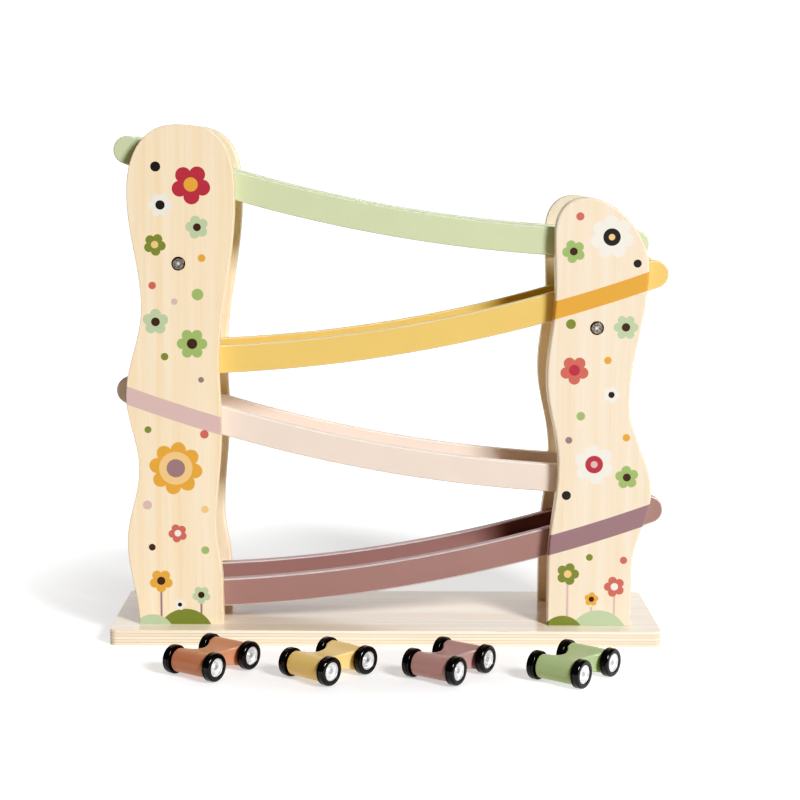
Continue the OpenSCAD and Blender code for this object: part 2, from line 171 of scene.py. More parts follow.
# The left pair of uprights was cut from a warmer sheet than the right pair
leftSheetLook = {**plywoodLook, "pale": "#faebd1", "warm": "#f6e0bb"}
rightSheetLook = {**plywoodLook, "pale": "#f5e9d6", "warm": "#f2e0c4"}


# Grain runs along Z on an upright and along X on the base; depthAxis is the one through the sheet
def plywood(name, look, grainAxis, depthAxis, sheetStart, sheetThickness, printed=None):
    material, tree, place = newMaterial(name)
    known = {"colour": hexColour(look["pale"])}
    for mark, detail, roughness in (("band", 3, 0.6), ("streak", 3, 0.6), ("fibre", 2, 0.5)):
        across, along = look[mark + "Size"]
        lengths = [along if axis == grainAxis else across for axis in "XYZ"]
        known[mark] = stretchedNoise(tree, place, lengths, detail, roughness)
    for mark, detail in (("wobble", 1), ("pore", 2)):
        known[mark] = stretchedNoise(tree, place, [look[mark + "Size"]] * 3, detail)
    known["depth"] = addNode(tree, "ShaderNodeSeparateXYZ", {0: place}, output=depthAxis)
    plyThickness = sheetThickness / look["plies"]
    glueEdge = look["glueWidth"] / plyThickness / 2
    middlePly = look["plies"] / 2
    addRows(tree, known, [
        ("bandShare", "MapRange LINEAR", "band", *look["bandRange"]),
        ("streakShare", "MapRange LINEAR", "streak", *look["streakRange"]),
        ("fibreShare", "MapRange LINEAR", "fibre", *look["fibreRange"]),
        # Depth through the sheet, in plies: odd plies are cross plies, and glue lies where two meet
        ("depth", "ABSOLUTE", "depth"),
        ("depth", "SUBTRACT", "depth", sheetStart * mm),
        ("depth", "DIVIDE", "depth", plyThickness * mm),
        ("wobble", "MapRange LINEAR", "wobble", *look["wobbleRange"]),
        ("depth", "ADD", "depth", "wobble"),
        ("inside", "COMPARE", "depth", middlePly, middlePly - look["facePly"]),
        ("odd", "MODULO", "depth", 2),
        ("odd", "GREATER_THAN", "odd", 1),
        ("odd", "MULTIPLY", "odd", "inside"),
        ("pore", "MapRange LINEAR", "pore", *look["poreRange"]),
        ("odd", "MULTIPLY", "odd", "pore"),
        ("pair", "PINGPONG", "depth", 1),
        ("fromGlue", "SUBTRACT", 1, "pair"),
        ("fromGlue", "MINIMUM", "fromGlue", "pair"),
        ("glue", "MapRange LINEAR", "fromGlue", glueEdge, 2 * glueEdge, look["glueShare"], 0),
        ("glue", "MULTIPLY", "glue", "inside"),
        ("grain", "ADD", "streak", "fibre"),
        ("grain", "MULTIPLY", "grain", 0.5),
        ("gloss", "MapRange LINEAR", "band", 0, 1, *look["roughness"]),
        ("colour", "Mix RGBA", "bandShare", "colour", hexColour(look["warm"])),
        ("colour", "Mix RGBA", "streakShare", "colour", hexColour(look["streak"])),
        ("colour", "Mix RGBA", "fibreShare", "colour", hexColour(look["streak"])),
        ("colour", "Mix RGBA", "odd", "colour", hexColour(look["crossPly"])),
        ("colour", "Mix RGBA", "glue", "colour", hexColour(look["glue"])),
    ])
    if printed:
        addPrints(tree, place, known, printed)
    closeMaterial(tree, {"Base Color": known["colour"], "Roughness": known["gloss"], "IOR": 1.5}, known["grain"],
                  look["reliefDepth"] * mm)
    return material


printLook = {
    "depth": 1.8,  # how far a print runs round the arris of the front face
    "softEdge": 0.08,
    "petalRoundness": 0.7,
    "overGrain": 0.06,  # how little the open fibres take away from the ink
}


# The last row of a mask: 1 inside a shape and 0 outside, from how far inside its rim a point lies
maskRow = ("mask", "MapRange LINEAR", "inside", -printLook["softEdge"] * mm, printLook["softEdge"] * mm, 0, 1)


# Mask of a printed rosette: a dot, or a flower with so many petals, in the X and Z of the print's face
def rosetteGroup():
    numbers = dict.fromkeys(("Centre X", "Centre Z", "Size", "Turn", "Petals", "Notch"), "Float")
    tree, known = newTree("printedRosette", "ShaderNodeTree", ("Mask", "Float"), {"Place": "Vector", **numbers})
    axes = addNode(tree, "ShaderNodeSeparateXYZ", {0: known["Place"]}).node.outputs
    known.update(X=axes["X"], Z=axes["Z"])
    addRows(tree, known, [
        ("across", "SUBTRACT", "X", "Centre X"),
        ("up", "SUBTRACT", "Z", "Centre Z"),
        ("petal", "ARCTAN2", "up", "across"),
        ("petal", "ADD", "petal", "Turn"),
        ("petal", "MULTIPLY", "petal", "Petals"),
        ("petal", "MULTIPLY", "petal", 0.5),
        ("petal", "COSINE", "petal"),
        ("petal", "ABSOLUTE", "petal"),
        ("petal", "POWER", "petal", printLook["petalRoundness"]),
        ("gap", "SUBTRACT", 1, "petal"),
        ("gap", "MULTIPLY", "gap", "Notch"),
        ("reach", "SUBTRACT", 1, "gap"),
        ("reach", "MULTIPLY", "reach", "Size"),
        ("away", "MULTIPLY", "across", "across"),
        ("away", "MULTIPLY_ADD", "up", "up", "away"),
        ("away", "SQRT", "away"),
        ("inside", "SUBTRACT", "reach", "away"),
        maskRow,
    ])
    addNode(tree, "NodeGroupOutput", {"Mask": known["mask"]})
    return tree


# Mask of a printed bar with round ends, between two points of the print's face
def barGroup():
    tree, known = newTree("printedBar", "ShaderNodeTree", ("Mask", "Float"),
                          {"Place": "Vector", "Start": "Vector", "End": "Vector", "Width": "Float"})
    addRows(tree, known, [
        ("flat", "VectorMath MULTIPLY", "Place", (1, 0, 1)),
        ("reach", "VectorMath SUBTRACT", "End", "Start"),
        ("offset", "VectorMath SUBTRACT", "flat", "Start"),
        ("along", "VectorMath DOT_PRODUCT", "offset", "reach"),
        ("whole", "VectorMath DOT_PRODUCT", "reach", "reach"),
        ("share", "DIVIDE", "along", "whole"),
        ("share", "MAXIMUM", "share", 0),
        ("share", "MINIMUM", "share", 1),
        ("foot", "VectorMath MULTIPLY", "reach", "share"),
        ("away", "VectorMath DISTANCE", "offset", "foot"),
        ("inside", "MULTIPLY", "Width", 0.5),
        ("inside", "SUBTRACT", "inside", "away"),
        maskRow,
    ])
    addNode(tree, "NodeGroupOutput", {"Mask": known["mask"]})
    return tree


# Inks of the printed stripes, flowers and dots: flat, opaque, with the grain faintly through them
inks = {
    "paleGreen": "#bccfa8",
    "green": "#9db974",
    "olive": "#7d8840",
    "brown": "#3f2519",
    "black": "#1d1817",
    "white": "#f0ede6",
    "red": "#b53c4c",
    "coral": "#cc6e64",
    "yellow": "#e3a74a",
    "blush": "#d9bab8",
    "plum": "#987b81",
    "ochre": "#f0c98c",
}
# Stripes that carry a ramp's line across an upright: which ramp, depths below its top edge, ink.
# Bars: X and Z of both ends, width, ink. Flowers: X, Z, size, petals, notch, turn in degrees, ink.
# Hills and dots: X, Z, size, ink. All X are counted from the spreader's screw.
leftPrint = {
    "screw": "left_spreader",
    "stripes": [(1, 6, 18, "blush")],
    "bars": [(-14, 11, -14, 36, 1.4, "plum"), (14, 11, 14, 27, 1.4, "plum"), (-1, 11, -1, 20, 1.2, "plum")],
    "hills": [(3, 2, 20, "olive"), (-20, 3, 15, "paleGreen")],
    "flowers": [
        (9, 318, 13.5, 5, 0.34, 15, "red"), (-12, 304, 8.4, 6, 0.3, 0, "white"),
        (13, 289, 8, 5, 0.3, 40, "paleGreen"), (-16, 277, 7.6, 5, 0.3, 10, "olive"),
        (9, 209, 10.5, 6, 0.32, 0, "green"), (-16, 224, 9, 5, 0.32, 55, "paleGreen"),
        (-3, 122, 18.5, 8, 0.26, 8, "yellow"), (-2, 76, 6.6, 5, 0.3, 30, "coral"),
        (-14, 42, 8.2, 5, 0.32, 90, "yellow"), (14, 32, 6.4, 5, 0.32, 20, "paleGreen"),
        (-1, 25, 4, 5, 0.32, 0, "white"),
    ],
    "dots": [
        (9, 318, 4.8, "yellow"), (-15, 330, 3.4, "black"), (-12, 304, 3.2, "black"), (13, 289, 2.7, "brown"),
        (-16, 277, 2.5, "ochre"), (16, 268, 2.6, "yellow"), (13, 243, 4, "green"), (-18, 249, 2.6, "coral"),
        (-3, 238, 2.2, "blush"), (9, 209, 3.6, "brown"), (-16, 224, 3, "brown"), (-10, 200, 2.6, "olive"),
        (15, 184, 2, "plum"), (-3, 122, 11.6, "ochre"), (-3, 122, 6.4, "plum"), (-23, 96, 3.2, "blush"),
        (17, 146, 3, "coral"), (17, 93, 2.6, "ochre"), (-22, 149, 2.4, "olive"), (-2, 76, 2.3, "white"),
        (17, 64, 2.8, "green"), (-20, 66, 2.4, "brown"), (-14, 42, 2.9, "brown"), (14, 32, 2.3, "brown"),
        (-1, 25, 1.5, "black"),
    ],
}
rightPrint = {
    "screw": "right_spreader",
    "stripes": [(2, 5.5, 17.5, "yellow"), (0, 3.5, 17, "plum")],
    "bars": [(-17, 11, -17, 42, 1.4, "blush"), (16, 11, 16, 33, 1.4, "blush"), (0, 11, 0, 24, 1.2, "blush")],
    "hills": [(5, 1, 21, "paleGreen"), (-20, 3, 15, "olive")],
    "flowers": [
        (9, 284, 15, 7, 0.28, 10, "white"), (-17, 274, 8, 5, 0.32, 30, "green"),
        (20, 222, 8.6, 6, 0.3, 0, "paleGreen"), (-15, 192, 10, 5, 0.34, 18, "coral"),
        (11, 175, 6, 5, 0.3, 0, "white"), (0, 126, 14, 6, 0.3, 22, "white"), (23, 117, 8.2, 5, 0.32, 48, "green"),
        (-17, 48, 8, 5, 0.32, 0, "olive"), (16, 39, 7.4, 5, 0.32, 36, "coral"), (0, 30, 5, 5, 0.3, 60, "yellow"),
    ],
    "dots": [
        (9, 284, 6, "black"), (9, 284, 2.2, "ochre"), (-13, 298, 2.8, "coral"), (-17, 274, 2.7, "brown"),
        (27, 266, 2.8, "black"), (20, 222, 2.9, "brown"), (-18, 224, 3.4, "olive"), (-15, 192, 3.8, "red"),
        (8, 199, 2.6, "yellow"), (11, 175, 2.2, "black"), (-10, 160, 3, "green"), (0, 126, 6.2, "red"),
        (0, 126, 2.4, "blush"), (-19, 104, 3.2, "black"), (23, 117, 2.8, "brown"), (-18, 143, 2.4, "plum"),
        (22, 145, 2.6, "yellow"), (22, 58, 2.6, "coral"), (-2, 60, 2.4, "olive"), (-17, 48, 2.7, "ochre"),
        (16, 39, 2.6, "white"), (0, 30, 1.9, "brown"),
    ],
}
rosetteMask = rosetteGroup()
barMask = barGroup()

# The ramps: arcs whose lowest point lies by the low tip, high on the right and on the left in turn
rampSizes = {
    "names": ["mauve", "pink", "yellow", "green"],
    "highSides": [1, -1, 1, -1],
    "levelRun": 8,
    "rise": 66.5,
    "railHeight": 19.5,
    "edgeRadius": 1.1,
}


def rampArc(i):
    low, high = boxOf(rampSizes["names"][i] + "_front_rail")
    side, rise = rampSizes["highSides"][i], rampSizes["rise"]
    lowTip, highTip = (low[0], high[0]) if side > 0 else (high[0], low[0])
    lowX = lowTip + side * rampSizes["levelRun"]
    return {"side": side, "lowTip": lowTip, "highTip": highTip, "lowX": lowX,
            "lowZ": low[2] + rampSizes["railHeight"], "radius": ((highTip - lowX) ** 2 + rise ** 2) / (2 * rise)}


# Prints a layout over the known colour, each shape where its mask says
def addPrints(tree, place, known, layout):
    face = boxOf("left_front_upright")[0][1] + printLook["depth"]
    middle = middleX(layout["screw"])
    sheetY = addNode(tree, "ShaderNodeSeparateXYZ", {0: place}, output="Y")
    addRows(tree, known, [
        ("flat", "VectorMath MULTIPLY", place, (1, 0, 1)),
        ("cover", "LESS_THAN", sheetY, face * mm),
        ("cover", "SUBTRACT", "cover", "fibreShare"),
        ("cover", "ADD", "cover", printLook["overGrain"]),
        ("cover", "MAXIMUM", "cover", 0),
        ("cover", "MINIMUM", "cover", 1),
    ])
    masks = []
    for ramp, top, bottom, ink in layout["stripes"]:
        arc = rampArc(ramp)
        addRows(tree, known, [
            ("off", "VectorMath DISTANCE", "flat", (arc["lowX"] * mm, 0, (arc["lowZ"] + arc["radius"]) * mm)),
            ("off", "SUBTRACT", "off", (arc["radius"] + (top + bottom) / 2) * mm),
            ("off", "ABSOLUTE", "off"),
            ("inside", "SUBTRACT", (bottom - top) / 2 * mm, "off"),
            maskRow,
        ])
        masks.append((known["mask"], ink))
    for x0, z0, x1, z1, width, ink in layout["bars"]:
        masks.append((addNode(tree, "ShaderNodeGroup", {
            "Place": place, "Start": ((middle + x0) * mm, 0, z0 * mm), "End": ((middle + x1) * mm, 0, z1 * mm),
            "Width": width * mm,
        }, node_tree=barMask), ink))
    hills, dots = ([(x, z, size, 1, 0, 0, ink) for x, z, size, ink in layout[key]] for key in ("hills", "dots"))
    for x, z, size, petals, notch, turn, ink in hills + layout["flowers"] + dots:
        masks.append((addNode(tree, "ShaderNodeGroup", {
            "Place": place, "Centre X": (middle + x) * mm, "Centre Z": z * mm, "Size": size * mm,
            "Turn": math.radians(turn), "Petals": petals, "Notch": notch,
        }, node_tree=rosetteMask), ink))
    for mask, ink in masks:
        addRows(tree, known, [
            ("share", "MULTIPLY", mask, "cover"),
            ("colour", "Mix RGBA", "share", "colour", hexColour(inks[ink])),
        ])


# Satin enamel brushed or rolled on wood: even colour, soft gloss, a trace of the grain below and of
# the roller, and paint a little thinner along the arrises, where a lighter colour is mixed in: wood
# through worn paint, and a painted highlight along the arris
enamelLook = {
    "grainAxis": "X",
    "grainSize": (1.4, 24),
    "rollerSize": 0.8,  # drawn coarser than the real 0.3 mm, so that it shows
    "cloudSize": 28,
    "cloudRange": (0.35, 0.7, 0, 1),
    "cloudShade": 0.97,
    "roughness": (0.35, 0.46),
    "wearAndHighlight": 1,
    "wearAndHighlightRange": (0.3, 0.7, 0.5, 0.75),
    "reliefDepth": 0.018,
}
carEnamelLook = {**enamelLook, "grainAxis": "Y", "roughness": (0.29, 0.4), "wearAndHighlight": 0.4}


def satinEnamel(name, colour, edge, look):
    material, tree, place = newMaterial(name)
    across, along = look["grainSize"]
    known = {"grain": stretchedNoise(tree, place, [along if axis == look["grainAxis"] else across for axis in "XYZ"])}
    for mark in ("roller", "cloud"):
        known[mark] = stretchedNoise(tree, place, [look[mark + "Size"]] * 3)
    known["atEdge"] = addNode(tree, "ShaderNodeAttribute", output="Fac", attribute_name="edge")
    paint = hexColour(colour)
    shaded = [c * look["cloudShade"] for c in paint[:3]] + [1]
    addRows(tree, known, [
        ("cloudShare", "MapRange LINEAR", "cloud", *look["cloudRange"]),
        ("colour", "Mix RGBA", "cloudShare", paint, shaded),
        # Lighter along the arrises: worn paint, and a painted highlight
        ("worn", "MapRange LINEAR", "grain", *look["wearAndHighlightRange"]),
        ("worn", "MULTIPLY", "worn", look["wearAndHighlight"]),
        ("worn", "MULTIPLY", "worn", "atEdge"),
        ("colour", "Mix RGBA", "worn", "colour", hexColour(edge)),
        ("gloss", "MapRange LINEAR", "cloud", 0, 1, *look["roughness"]),
        ("height", "ADD", "grain", "roller"),
        ("height", "MULTIPLY", "height", 0.5),
    ])
    closeMaterial(tree, {"Base Color": known["colour"], "Roughness": known["gloss"], "IOR": 1.5}, known["height"],
                  look["reliefDepth"] * mm)
    return material


# Starts a finish of two tones, mixed by noise, which changes the gloss with them
def twoTones(name, look):
    material, tree, place = newMaterial(name)
    noise = stretchedNoise(tree, place, [look["noiseSize"]] * 3, look["noiseDetail"])
    known = addRows(tree, {"place": place, "height": noise}, [
        ("share", "MapRange LINEAR", "height", *look["noiseRange"], 0, 1),
        ("colour", "Mix RGBA", "share", *(hexColour(tone) for tone in look["tones"])),
        ("gloss", "MapRange LINEAR", "height", 0, 1, *look["roughness"]),
    ])
    return material, tree, known


# Ends it, with the noise as its relief if nothing else is
def closeTones(tree, known, look):
    closeMaterial(tree, {"Base Color": known["colour"], "Roughness": known["gloss"], **look["kind"]}, known["height"],
                  look["reliefDepth"] * mm)


# Steel screws with a dark chemical finish in two tones. On the spreaders' screw heads, painted shade makes
# the rim near-black where the head meets its pocket, and a painted glint makes the middle bright where the
# cross recess catches the light. Distances are from the middle of a head.
screwLook = {
    "tones": ("#77706a", "#b6b0a8"),
    "noiseSize": 0.6,
    "noiseDetail": 3,
    "noiseRange": (0.45, 0.65),
    "roughness": (0.28, 0.45),
    # Painted glint in the middle of a head
    "paintedGlint": "#fbf8f3",
    "paintedGlintRadius": (0.5, 1.7),
    "paintedGlintShare": 0.9,
    # Painted shade round the rim of a head
    "rim": "#3b2f27",
    "rimRadius": (3.3, 4.2),
    "headReach": 6,
    "kind": {"Metallic": 1},
    "reliefDepth": 0.01,
}


def blackenedSteel(name, heads=()):
    material, tree, known = twoTones(name, screwLook)
    addRows(tree, known, [("flat", "VectorMath MULTIPLY", "place", (1, 0, 1))])
    paintedGlint, rim = ([radius * mm for radius in screwLook[part + "Radius"]] for part in ("paintedGlint", "rim"))
    # Painted glint in the middle of each head, painted shade round its rim
    for x, z in heads:
        addRows(tree, known, [
            ("away", "VectorMath DISTANCE", "flat", (x * mm, 0, z * mm)),
            ("share", "MapRange LINEAR", "away", *paintedGlint, screwLook["paintedGlintShare"], 0),
            ("colour", "Mix RGBA", "share", "colour", hexColour(screwLook["paintedGlint"])),
            ("share", "MapRange LINEAR", "away", *rim, 0, 1),
            ("onHead", "LESS_THAN", "away", screwLook["headReach"] * mm),
            ("share", "MULTIPLY", "share", "onHead"),
            ("colour", "Mix RGBA", "share", "colour", hexColour(screwLook["rim"])),
        ])
    closeTones(tree, known, screwLook)
    return material


# Injection-moulded glossy black plastic tyres: near-black, sharp window highlights, faint moulding ripple
tyreLook = {
    "tones": ("#0a0909", "#191817"),
    "noiseSize": 0.5,
    "noiseDetail": 3,
    "noiseRange": (0.6, 0.85),
    "roughness": (0.12, 0.24),
    "rippleSize": 1.6,
    "kind": {"IOR": 1.5},
    "reliefDepth": 0.01,
}


def mouldedBlack():
    material, tree, known = twoTones("glossyBlackPlastic", tyreLook)
    known["height"] = stretchedNoise(tree, known["place"], [tyreLook["rippleSize"]] * 3, 1)
    closeTones(tree, known, tyreLook)
    return material


# Spun aluminium hub caps: bright, with fine turning rings that draw the light round the dish
hubLook = {
    "tones": ("#fafafa", "#ececee"),
    "noiseSize": 3,
    "noiseDetail": 1,
    "noiseRange": (0, 1),
    "roughness": (0.42, 0.5),
    "ringPitch": 0.45,  # 0.1 mm on the real one, drawn coarser so that it shows
    "kind": {"Metallic": 1},
    "reliefDepth": 0.002,
}


def spunAluminium():
    material, tree, known = twoTones("spunAluminium", hubLook)
    known["radius"] = addNode(tree, "ShaderNodeAttribute", output="Fac", attribute_name="ringRadius")
    addRows(tree, known, [
        ("wave", "MULTIPLY", "radius", 2 * math.pi / (hubLook["ringPitch"] * mm)),
        ("wave", "SINE", "wave"),
        ("height", "MULTIPLY_ADD", "wave", 0.5, 0.5),
    ])
    closeTones(tree, known, hubLook)
    return material


# Bright drawn steel axles: fine marks from the drawing die
axleLook = {
    "tones": ("#cfcfcd", "#b4b4b2"),
    "noiseSize": 0.5,
    "noiseDetail": 3,
    "noiseRange": (0, 1),
    "roughness": (0.22, 0.36),
    "kind": {"Metallic": 1},
    "reliefDepth": 0.004,
}


def drawnSteel():
    material, tree, known = twoTones("drawnSteel", axleLook)
    closeTones(tree, known, axleLook)
    return material


backLow, backHigh = boxOf("left_back_upright")
sheetStart, sheetThickness = backLow[1], backHigh[1] - backLow[1]
baseTop = boxOf("base_board")[1][2]
uprightPlies = {
    "left_front": plywood("leftPrintedPlywood", leftSheetLook, "Z", "Y", sheetStart, sheetThickness, leftPrint),
    "right_front": plywood("rightPrintedPlywood", rightSheetLook, "Z", "Y", sheetStart, sheetThickness, rightPrint),
    "left_back": plywood("leftPlywood", leftSheetLook, "Z", "Y", sheetStart, sheetThickness),
    "right_back": plywood("rightPlywood", rightSheetLook, "Z", "Y", sheetStart, sheetThickness),
}
basePly = plywood("basePlywood", basePlywoodLook, "X", "Z", 0, baseTop)
dowelSheet = (-1000, 5000)  # solid wood: a sheet so thick that no ply shows
dowelWood = plywood("dowelWood", plywoodLook, "Y", "X", *dowelSheet)

# Colour of each paint, and the lighter colour at its arrises: the wood that shines through worn paint,
# and a painted highlight along the arris
enamels = {
    # The mauve arrises get more of the lighter colour: a brighter painted highlight
    "mauve": ("#a3807c", "#e6dcde", {**enamelLook, "wearAndHighlight": 1.3}),
    "pink": ("#edded3", "#faf4ee", enamelLook),
    "yellow": ("#ecca79", "#f8e9c4", enamelLook),
    "green": ("#d0dbb3", "#eaf1d8", enamelLook),
    "terracotta_car": ("#cc8b6d", "#e0b096", carEnamelLook),
    "yellow_car": ("#f1cf88", "#f7e2b3", carEnamelLook),
    "mauve_car": ("#b5908d", "#cdadaa", carEnamelLook),
    "green_car": ("#b4ca98", "#cedeb8", carEnamelLook),
}
paints = {key: satinEnamel(key.replace("_car", "Car") + "Enamel", *enamel) for key, enamel in enamels.items()}

spreaderCentres = []
for node in ("left_spreader", "right_spreader"):
    low, high = boxOf(node)
    spreaderCentres.append((middleX(node), (low[2] + high[2]) / 2))
screwFinish = {"spreader_screws": blackenedSteel("blackenedScrewHeads", spreaderCentres),
               "base_screws": blackenedSteel("blackenedSteel")}
tyrePlastic = mouldedBlack()
hubMetal = spunAluminium()
axleSteel = drawnSteel()
print("track toy: materials made")


def newObject(name, mesh):
    piece = bpy.data.objects.new(name, mesh)
    scene.collection.objects.link(piece)
    return piece


# Turns what the modifiers make into the piece's own plain mesh
def applyModifiers(piece):
    depsgraph = bpy.context.evaluated_depsgraph_get()
    made = bpy.data.meshes.new_from_object(piece.evaluated_get(depsgraph), preserve_all_data_layers=True,
                                           depsgraph=depsgraph)
    piece.modifiers.clear()
    piece.data = made
    made.name = piece.name


# Rides on its nodes' body, takes their finish, and stands for them
def settle(piece, material, *nodes):
    piece.data.materials.clear()
    piece.data.materials.append(material)
    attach(piece, bodyOf[nodes[0]])
    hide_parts(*nodes)
    return piece


def shadeSmooth(mesh, angle=35):
    mesh.polygons.foreach_set("use_smooth", [True] * len(mesh.polygons))
    mesh.set_sharp_from_angle(angle=math.radians(angle))


softening = {
    "weldGap": 0.004,
    "flatAngle": 0.3,  # degrees under which two facets are one face
    "arrisAngle": 32,
    "smallRadius": 0.4,
    "screwRadius": 0.12,
}


# Copy of a CAD node with its arrises rounded; share says how much of the radius an edge gets
def softenedCopy(node, name, edgeRadius, share=None, steps=2):
    mesh = frame["nodes"][node].data.copy()
    if "custom_normal" in mesh.attributes:
        mesh.attributes.remove(mesh.attributes["custom_normal"])
    shape = bmesh.new()
    shape.from_mesh(mesh)
    bmesh.ops.remove_doubles(shape, verts=shape.verts, dist=softening["weldGap"] * mm)
    bmesh.ops.dissolve_limit(shape, angle_limit=math.radians(softening["flatAngle"]), verts=shape.verts,
                            edges=shape.edges)
    weight = shape.edges.layers.float.new("bevel_weight_edge")
    for edge in shape.edges:
        if len(edge.link_faces) == 2 and edge.calc_face_angle(0) > math.radians(softening["arrisAngle"]):
            edge[weight] = share(edge) if share else 1
    for face in shape.faces:
        face.smooth = True
    shape.to_mesh(mesh)
    shape.free()
    mesh.materials.clear()
    piece = newObject(name, mesh)
    arris = piece.modifiers.new("arrises", "BEVEL")
    arris.width, arris.segments, arris.limit_method = edgeRadius * mm, steps, "WEIGHT"
    arris.use_clamp_overlap = True
    normals = piece.modifiers.new("evenShading", "WEIGHTED_NORMAL")
    normals.keep_sharp = True
    applyModifiers(piece)
    return piece


# Uprights: sawn from plywood, with softly rounded arrises, a crisp foot and crisp screw holes
uprightFinish = {
    "edgeRadius": 1.7,
    "steps": 4,
    "crispShare": 0.12,
    "holeReach": 8,  # round the spreader's screw
    "footBores": (19, 4),  # height of the screw bores in the foot, and how far they reach from the sheet's middle
    "footGap": 0.02,
}


def uprightShare(side):
    low, high = boxOf(f"{side}_spreader")
    centreX, centreZ = (low[0] + high[0]) / 2, (low[2] + high[2]) / 2
    sheetMiddle = sheetStart + sheetThickness / 2
    boreHeight, boreReach = uprightFinish["footBores"]

    def share(edge):
        x, y, z = (edge.verts[0].co + edge.verts[1].co) / 2 / mm
        atFoot = abs(z - baseTop) < uprightFinish["footGap"]
        atHole = math.hypot(x - centreX, z - centreZ) < uprightFinish["holeReach"]
        inFoot = z < baseTop + boreHeight and abs(abs(y) - sheetMiddle) < boreReach
        return uprightFinish["crispShare"] if atFoot or atHole or inFoot else 1
    return share


for side in ("left", "right"):
    for face in ("front", "back"):
        node = f"{side}_{face}_upright"
        piece = softenedCopy(node, f"{side}{face.title()}Upright", uprightFinish["edgeRadius"],
                             uprightShare(side), uprightFinish["steps"])
        settle(piece, uprightPlies[f"{side}_{face}"], node)

baseFinish = {"edgeRadius": 1.1, "steps": 3, "undersideShare": 0.25, "undersideReach": 5}


def baseShare(edge):
    top = max(vert.co.z for vert in edge.verts)
    return baseFinish["undersideShare"] if top < baseFinish["undersideReach"] * mm else 1


base = softenedCopy("base_board", "baseBoard", baseFinish["edgeRadius"], baseShare, baseFinish["steps"])
settle(base, basePly, "base_board")
print("track toy: base and uprights made")


